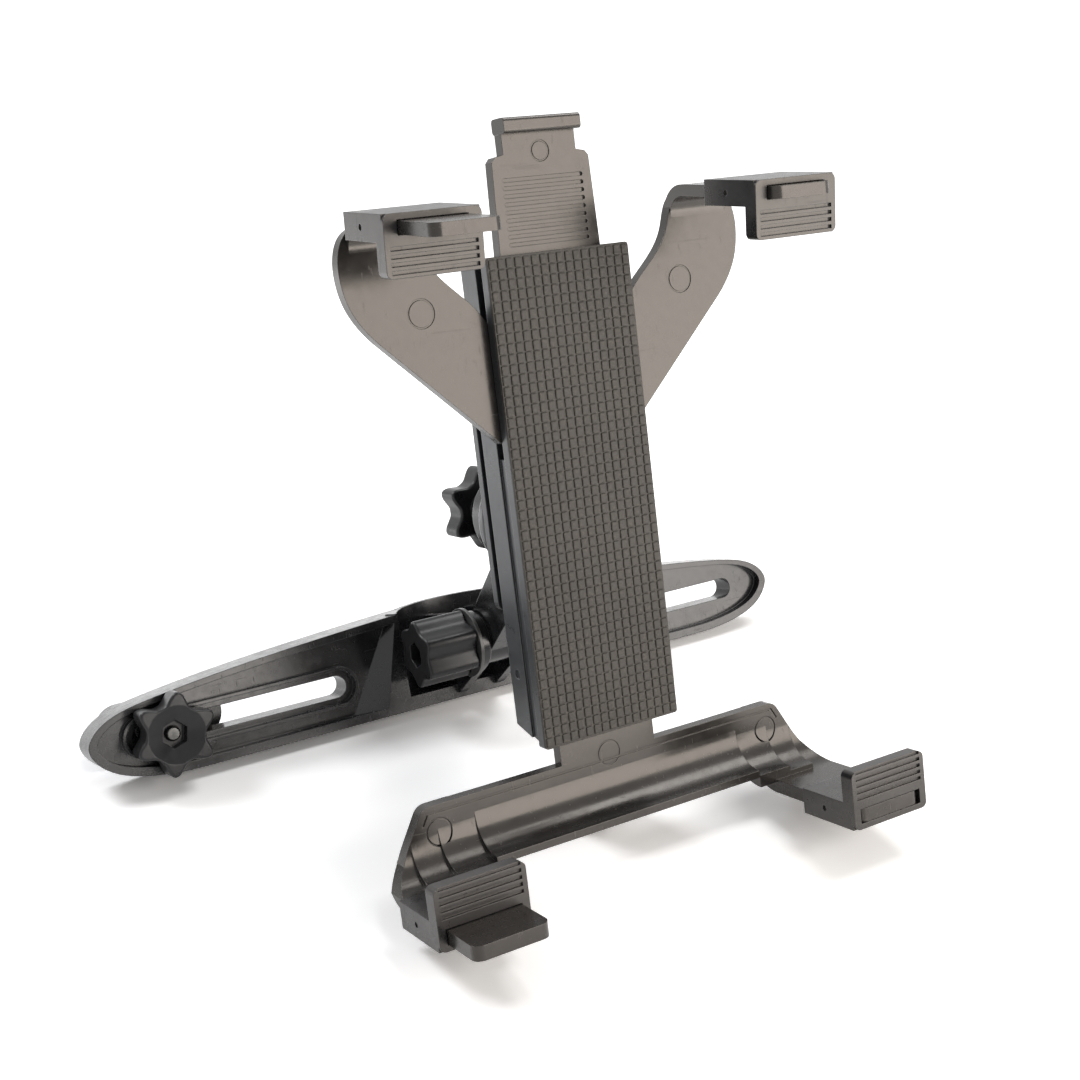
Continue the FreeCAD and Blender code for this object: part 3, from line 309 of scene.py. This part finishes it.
def shallow_bump(tree, shader, height, depth, rounded=None):
    bump = add(tree, "ShaderNodeBump", {"Strength": 1.0, "Distance": depth})
    join(tree, height, bump.inputs["Height"])
    if rounded is not None:
        join(tree, rounded, bump.inputs["Normal"])
    join(tree, bump.outputs["Normal"], shader.inputs["Normal"])


print("pattern and edge tools ready")

# %% [markdown]
# ## Black moulded plastic
# Most pieces are injection-moulded in the same black plastic. Up close it is not one flat black:
# the tool's fine spark-eroded grain, faint streaks where the plastic flowed, hairline scratches and
# handled edges all show in the reflections. The colour hardly changes, so most of the work is done
# by the roughness and a very shallow bump.

# %% Recipe for moulded plastic
STREAKS = 22.0
STREAK_STRETCH = (1.0, 1.0, 2.6)
STREAK_GLOSS = 0.05
SPECKS = 380.0
UPRIGHT_LINES = (14.0, 14.0, 0.7)
LEVEL_LINES = (0.8, 12.0, 12.0)
SCRATCH_GLOSS = 0.10
FINE_GRAIN = 0.000006
COARSE_GRAIN = 0.00001
PLAIN_SHINE = 0.5


def start_finish(name):
    finish = bpy.data.materials.new(name)
    tree = empty_tree(finish)
    out = add(tree, "ShaderNodeOutputMaterial")
    shader = add(tree, "ShaderNodeBsdfPrincipled")
    join(tree, shader.outputs[0], out.inputs["Surface"])
    return finish, tree, shader


def hairlines(tree):
    """Few thin scratches in two directions, as a mask."""
    upright = spread(tree, grain(tree, 60.0, 2.0, UPRIGHT_LINES), 0.66, 0.72, 0.0, 1.0)
    level = spread(tree, grain(tree, 55.0, 2.0, LEVEL_LINES), 0.68, 0.74, 0.0, 1.0)
    return combine(tree, "MAXIMUM", upright, level)


def moulded(name, dark, pale, rough, grain_scale, grain_depth, edge_radius, wear,
            tint=WHITE, shine=PLAIN_SHINE):
    finish, tree, shader = start_finish(name)
    flow = grain(tree, STREAKS, 4.0, STREAK_STRETCH, 0.6)
    speck = grain(tree, SPECKS, 3.0)
    fine = grain(tree, grain_scale)
    rounded = rounded_edge(tree, edge_radius)
    edge = combine(tree, "MULTIPLY", rubbed_edge(tree, rounded),
                   spread(tree, speck, 0.35, 0.65, 0.6, 1.0))
    body = blend_colour(tree, spread(tree, flow, 0.35, 0.68, 0.0, 1.0), dark, pale)
    body = blend_colour(tree, edge, body, tuple(c * wear for c in pale))
    join(tree, body, shader.inputs["Base Color"])
    streaky = spread(tree, flow, 0.3, 0.7, rough - STREAK_GLOSS, rough + STREAK_GLOSS)
    gloss = combine(tree, "ADD", streaky, spread(tree, speck, 0.3, 0.7, -0.03, 0.04))
    scratched = combine(tree, "MULTIPLY", hairlines(tree), SCRATCH_GLOSS)
    join(tree, combine(tree, "ADD", gloss, scratched), shader.inputs["Roughness"])
    shallow_bump(tree, shader, fine, grain_depth, rounded)
    shader.inputs["Specular Tint"].default_value = opaque(tint)
    shader.inputs["Specular IOR Level"].default_value = shine
    return finish


print("recipe ready")

# %% [markdown]
# The five blacks differ a little in shade and gloss. The carriages and jaws have a warmer shine
# than the rest, and the knobs a duller one. Each call gives two shades, the roughness, the grain's
# scale and depth, the rounding of the edges in metres, and how much paler a rubbed edge is.

# %% Mix the five blacks
WARM_TINT = (1.0, 0.93, 0.86)
DULL_SHINE = 0.32

BAR_BLACK = moulded("bar_black", (0.007, 0.007, 0.008), (0.012, 0.012, 0.013),
                    0.24, 1500.0, FINE_GRAIN, 0.0004, 3.6)
BLOCK_BLACK = moulded("block_black", (0.020, 0.022, 0.024), (0.030, 0.032, 0.035),
                      0.30, 1700.0, COARSE_GRAIN, 0.0004, 2.6)
CARRIAGE_BLACK = moulded("carriage_black", (0.016, 0.015, 0.014), (0.024, 0.022, 0.021),
                         0.22, 1400.0, FINE_GRAIN, 0.00025, 2.6, tint=WARM_TINT)
JAW_BLACK = moulded("jaw_black", (0.010, 0.010, 0.011), (0.018, 0.018, 0.019),
                    0.28, 1900.0, COARSE_GRAIN, 0.0003, 3.4, tint=WARM_TINT)
KNOB_BLACK = moulded("knob_black", (0.007, 0.007, 0.008), (0.014, 0.014, 0.015),
                     0.30, 1600.0, COARSE_GRAIN, 0.0006, 3.2, shine=DULL_SHINE)
blacks = (BAR_BLACK, BLOCK_BLACK, CARRIAGE_BLACK, JAW_BLACK, KNOB_BLACK)
print("plastics:", [m.name for m in blacks])

# %% [markdown]
# ## Rubber, steel and the hinge's washers
# The rubber is dull and brownish, with a fine dusty bloom. The bolts are blackened steel with
# faint turning marks. The washers are dark grey nylon, and the swivel's disc is the shiniest
# plastic on the holder.

# %% Recipes for rubber, steel, nylon and the disc
RUBBER_DARK = (0.022, 0.019, 0.016)
RUBBER_PALE = (0.034, 0.030, 0.025)
RUBBER_DUST = (0.085, 0.077, 0.067)
RUBBER_BUMP = 0.00012
STEEL_DARK = (0.045, 0.045, 0.045)
STEEL_PALE = (0.085, 0.085, 0.082)
STEEL_BUMP = 0.00002
STEEL_EDGE = 0.0004


def rubber_finish():
    finish, tree, shader = start_finish("rubber_brown")
    patch = grain(tree, 35.0, 4.0)
    dust = grain(tree, 900.0, 3.0)
    body = blend_colour(tree, spread(tree, patch, 0.3, 0.7, 0.0, 1.0), RUBBER_DARK, RUBBER_PALE)
    body = blend_colour(tree, spread(tree, dust, 0.50, 0.70, 0.0, 0.6), body, RUBBER_DUST)
    join(tree, body, shader.inputs["Base Color"])
    join(tree, spread(tree, dust, 0.3, 0.7, 0.50, 0.66), shader.inputs["Roughness"])
    shader.inputs["Specular IOR Level"].default_value = DULL_SHINE
    shallow_bump(tree, shader, dust, RUBBER_BUMP)
    return finish


def steel_finish():
    finish, tree, shader = start_finish("blackened_steel")
    turned = grain(tree, 700.0, 3.0, (1.0, 0.2, 1.0))
    patch = grain(tree, 160.0)
    body = blend_colour(tree, spread(tree, patch, 0.35, 0.65, 0.0, 1.0), STEEL_DARK, STEEL_PALE)
    join(tree, body, shader.inputs["Base Color"])
    join(tree, spread(tree, turned, 0.3, 0.7, 0.22, 0.38), shader.inputs["Roughness"])
    shader.inputs["Metallic"].default_value = 1.0
    shallow_bump(tree, shader, turned, STEEL_BUMP, rounded_edge(tree, STEEL_EDGE))
    return finish


RUBBER = rubber_finish()
STEEL = steel_finish()
NYLON = moulded("nylon_grey", (0.045, 0.045, 0.044), (0.075, 0.075, 0.073),
                0.36, 1500.0, COARSE_GRAIN, 0.0003, 2.6)
DISC = moulded("disc_grey", (0.050, 0.052, 0.055), (0.075, 0.077, 0.080),
               0.20, 1500.0, FINE_GRAIN, 0.0006, 1.6)
print("other finishes:", [m.name for m in (RUBBER, STEEL, NYLON, DISC)])

# %% [markdown]
# ## Dress the solids
# Each solid keeps its shape and gets the finish of its kind. The glTF import gives every solid its
# own material slot, so the finish is put in the slots that are there.

# %% Give each solid its finish
PIECES_IN = (
    (BAR_BLACK, ("headrest_bar", "tilt_arm", "left_clamp_plate", "right_clamp_plate",
                 "left_slot_shoe", "right_slot_shoe")),
    (BLOCK_BLACK, ("block_housing", "front_cover", "back_plate", "swivel_base")),
    (CARRIAGE_BLACK, ("upper_carriage", "lower_carriage")),
    (JAW_BLACK, ("upper_left_jaw", "upper_right_jaw", "lower_left_jaw", "lower_right_jaw")),
    (KNOB_BLACK, ("left_star_knob", "right_star_knob", "rear_knob", "tilt_knob")),
    (STEEL, ("tilt_bolt", "swivel_bolt", "plate_screws", "left_clamp_bolt", "right_clamp_bolt")),
    (RUBBER, ("rubber_pad", "left_clamp_liner", "right_clamp_liner", "left_clamp_bush",
              "right_clamp_bush")),
    (NYLON, ("tilt_washer", "thin_washer", "swivel_washer")),
    (DISC, ("swivel_disc",)),
)
FINISH_OF = {name: finish for finish, names in PIECES_IN for name in names}

for name, solid in solids.items():
    if not solid.data.materials:
        solid.data.materials.append(FINISH_OF[name])
    for place in solid.material_slots:
        place.material = FINISH_OF[name]
print("dressed", len(FINISH_OF), "of", len(solids), "solids")

# %% [markdown]
# ## The embossed rubber
# The pad's face is pressed in rows of small raised pillows, about three millimetres apart, with
# wider dark gaps beside them than above them. A texture would stay flat at the pad's edge, and
# eight hundred pillows by hand would be dull work, so Geometry Nodes repeat one small pillow over a
# grid of points and set them on a thin sheet. The result becomes one plain mesh.

# %% Make one pillow and the sheet under it
PAD_WIDTH = 0.0496
PAD_HEIGHT = 0.150
PAD_THICK = 0.0012
PAD_CORNER = 0.001
CORNER_STEPS = 4
RIM_ROUND = 0.0002
RELIEF = 0.00042
PITCH_ACROSS = 0.00290
PITCH_UP = 0.00310
GAP_ACROSS = 0.00062
GAP_UP = 0.00020
PILLOW_ROOT = 0.0002
PILLOW_ROUND = 0.0004
TINY = 1e-6


def mesh_object(name, builder):
    mesh = bpy.data.meshes.new(name)
    work = bmesh.new()
    builder(work)
    bmesh.ops.recalc_face_normals(work, faces=work.faces)
    work.to_mesh(mesh)
    work.free()
    return new_object(name, mesh)


def round_over(work, edges, radius):
    bmesh.ops.bevel(work, geom=edges, offset=radius, segments=2, profile=0.6, affect="EDGES")


def pillow_shape(work):
    bmesh.ops.create_cube(work, size=1.0)
    size = Vector((PITCH_ACROSS - GAP_ACROSS, PITCH_UP - GAP_UP, RELIEF + PILLOW_ROOT))
    bmesh.ops.scale(work, vec=size, verts=work.verts)
    bmesh.ops.translate(work, vec=(0, 0, -size.z / 2), verts=work.verts)
    upper = [e for e in work.edges if max(v.co.z for v in e.verts) > -size.z + TINY]
    round_over(work, upper, PILLOW_ROUND)


def sheet_shape(work):
    rim = []
    for turn, x, y in ((0, 1, 1), (90, -1, 1), (180, -1, -1), (270, 1, -1)):
        for step in range(CORNER_STEPS + 1):
            a = math.radians(turn + 90 / CORNER_STEPS * step)
            px = x * (PAD_WIDTH / 2 - PAD_CORNER) + PAD_CORNER * math.cos(a)
            py = y * (PAD_HEIGHT / 2 - PAD_CORNER) + PAD_CORNER * math.sin(a)
            rim.append(work.verts.new((px, py, -PAD_THICK)))
    base = work.faces.new(rim)
    grown = bmesh.ops.extrude_face_region(work, geom=[base])
    raised = [g for g in grown["geom"] if isinstance(g, bmesh.types.BMVert)]
    bmesh.ops.translate(work, vec=(0, 0, PAD_THICK - RELIEF), verts=raised)
    top = [e for e in work.edges if min(v.co.z for v in e.verts) > -PAD_THICK + TINY]
    round_over(work, top, RIM_ROUND)


pillow = mesh_object("pillow", pillow_shape)
pad = mesh_object("embossed_pad", sheet_shape)
print("pillow faces:", len(pillow.data.polygons), " sheet faces:", len(pad.data.polygons))

# %% [markdown]
# The tree takes the sheet, lays a grid of points over it, puts a pillow on each point and gives
# each one a slightly different size, as in pressed rubber. The seed is fixed, so every run gives
# the same pad.

# %% Build the tree that repeats the pillow
COLUMNS = 17
ROWS = 48
SEED = 4
SMALLEST = (0.97, 0.98, 0.86)
LARGEST = (1.02, 1.01, 1.0)
TREE_INPUTS = (
    ("Geometry", "NodeSocketGeometry", None),
    ("Pillow", "NodeSocketObject", None),
    ("Across", "NodeSocketFloat", PITCH_ACROSS),
    ("Up", "NodeSocketFloat", PITCH_UP),
    ("Columns", "NodeSocketInt", COLUMNS),
    ("Rows", "NodeSocketInt", ROWS),
    ("Seed", "NodeSocketInt", SEED),
    ("Finish", "NodeSocketMaterial", None),
)


def point_lattice(tree, start):
    lattice = add(tree, "GeometryNodeMeshGrid")
    for count, pitch, axis in (("Columns", "Across", "X"), ("Rows", "Up", "Y")):
        join(tree, start.outputs[count], lattice.inputs["Vertices " + axis])
        spaces = combine(tree, "SUBTRACT", start.outputs[count], 1.0)
        length = combine(tree, "MULTIPLY", spaces, start.outputs[pitch])
        join(tree, length, lattice.inputs["Size " + axis])
    return lattice.outputs["Mesh"]


def embossing_tree():
    tree = bpy.data.node_groups.new("embossed rows", "GeometryNodeTree")
    for name, kind, value in TREE_INPUTS:
        socket = tree.interface.new_socket(name, in_out="INPUT", socket_type=kind)
        if value is not None:
            socket.default_value = value
    tree.interface.new_socket("Geometry", in_out="OUTPUT", socket_type="NodeSocketGeometry")
    start = add(tree, "NodeGroupInput")
    end = add(tree, "NodeGroupOutput")
    shape = add(tree, "GeometryNodeObjectInfo")
    join(tree, start.outputs["Pillow"], shape.inputs["Object"])
    size = add(tree, "FunctionNodeRandomValue", data_type="FLOAT_VECTOR")
    size.inputs[0].default_value = SMALLEST
    size.inputs[1].default_value = LARGEST
    join(tree, start.outputs["Seed"], size.inputs["Seed"])
    rows = add(tree, "GeometryNodeInstanceOnPoints")
    join(tree, point_lattice(tree, start), rows.inputs["Points"])
    join(tree, shape.outputs["Geometry"], rows.inputs["Instance"])
    join(tree, size.outputs[0], rows.inputs["Scale"])
    both = add(tree, "GeometryNodeJoinGeometry")
    join(tree, rows.outputs["Instances"], both.inputs[0])
    join(tree, start.outputs["Geometry"], both.inputs[0])
    real = add(tree, "GeometryNodeRealizeInstances")
    join(tree, both.outputs[0], real.inputs[0])
    coat = add(tree, "GeometryNodeSetMaterial")
    join(tree, real.outputs[0], coat.inputs["Geometry"])
    join(tree, start.outputs["Finish"], coat.inputs["Material"])
    join(tree, coat.outputs[0], end.inputs[0])
    return tree


rows_tree = embossing_tree()
print("inputs:", [s.name for s in rows_tree.interface.items_tree if s.in_out == "INPUT"])

# %% [markdown]
# A tree's inputs are set on the modifier by their identifiers. The evaluated result is copied to a
# plain mesh: the pad is drawn flat here, with its width along X, its height along Y and its face
# looking up.

# %% Press the pad
def set_input(modifier, name, value):
    for socket in modifier.node_group.interface.items_tree:
        if socket.name == name and socket.in_out == "INPUT":
            modifier[socket.identifier] = value


def make_plain(thing):
    bpy.context.view_layer.update()
    graph = bpy.context.evaluated_depsgraph_get()
    mesh = bpy.data.meshes.new_from_object(thing.evaluated_get(graph))
    thing.modifiers.clear()
    thing.data = mesh


press = pad.modifiers.new("emboss", "NODES")
press.node_group = rows_tree
set_input(press, "Pillow", pillow)
set_input(press, "Finish", RUBBER)
make_plain(pad)
bpy.data.objects.remove(pillow)
print("pad faces:", len(pad.data.polygons))

# %% [markdown]
# Only then is the pad turned and moved into its leaned place on the block. The solid pad's box says
# where that is: the foot is at its front edge below, and the lean gives the height. The pressed pad
# takes the solid one's place and rides with the holder.

# %% Put the pad on the block
LEAN = math.radians(13.0)

pad_low, pad_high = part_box("rubber_pad")
across = Vector((1, 0, 0))
upward = Vector((0, math.sin(LEAN), math.cos(LEAN)))
facing = Vector((0, -math.cos(LEAN), math.sin(LEAN)))
foot_z = pad_high.z - PAD_HEIGHT * math.cos(LEAN)
foot = Vector(((pad_low.x + pad_high.x) / 2, pad_low.y, foot_z))
seat = Matrix((across, upward, facing)).transposed().to_4x4()
seat.translation = foot + upward * (PAD_HEIGHT / 2)
pad.data.transform(seat)
pad.data.update()
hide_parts("rubber_pad")
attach(pad, "holder")
print("pad's foot at", [round(1000 * c, 1) for c in foot])

# %% [markdown]
# ## The colours
# The colours are left as they are written, without a film look.

# %% Keep the colours as written
bpy.context.scene.view_settings.view_transform = "Standard"
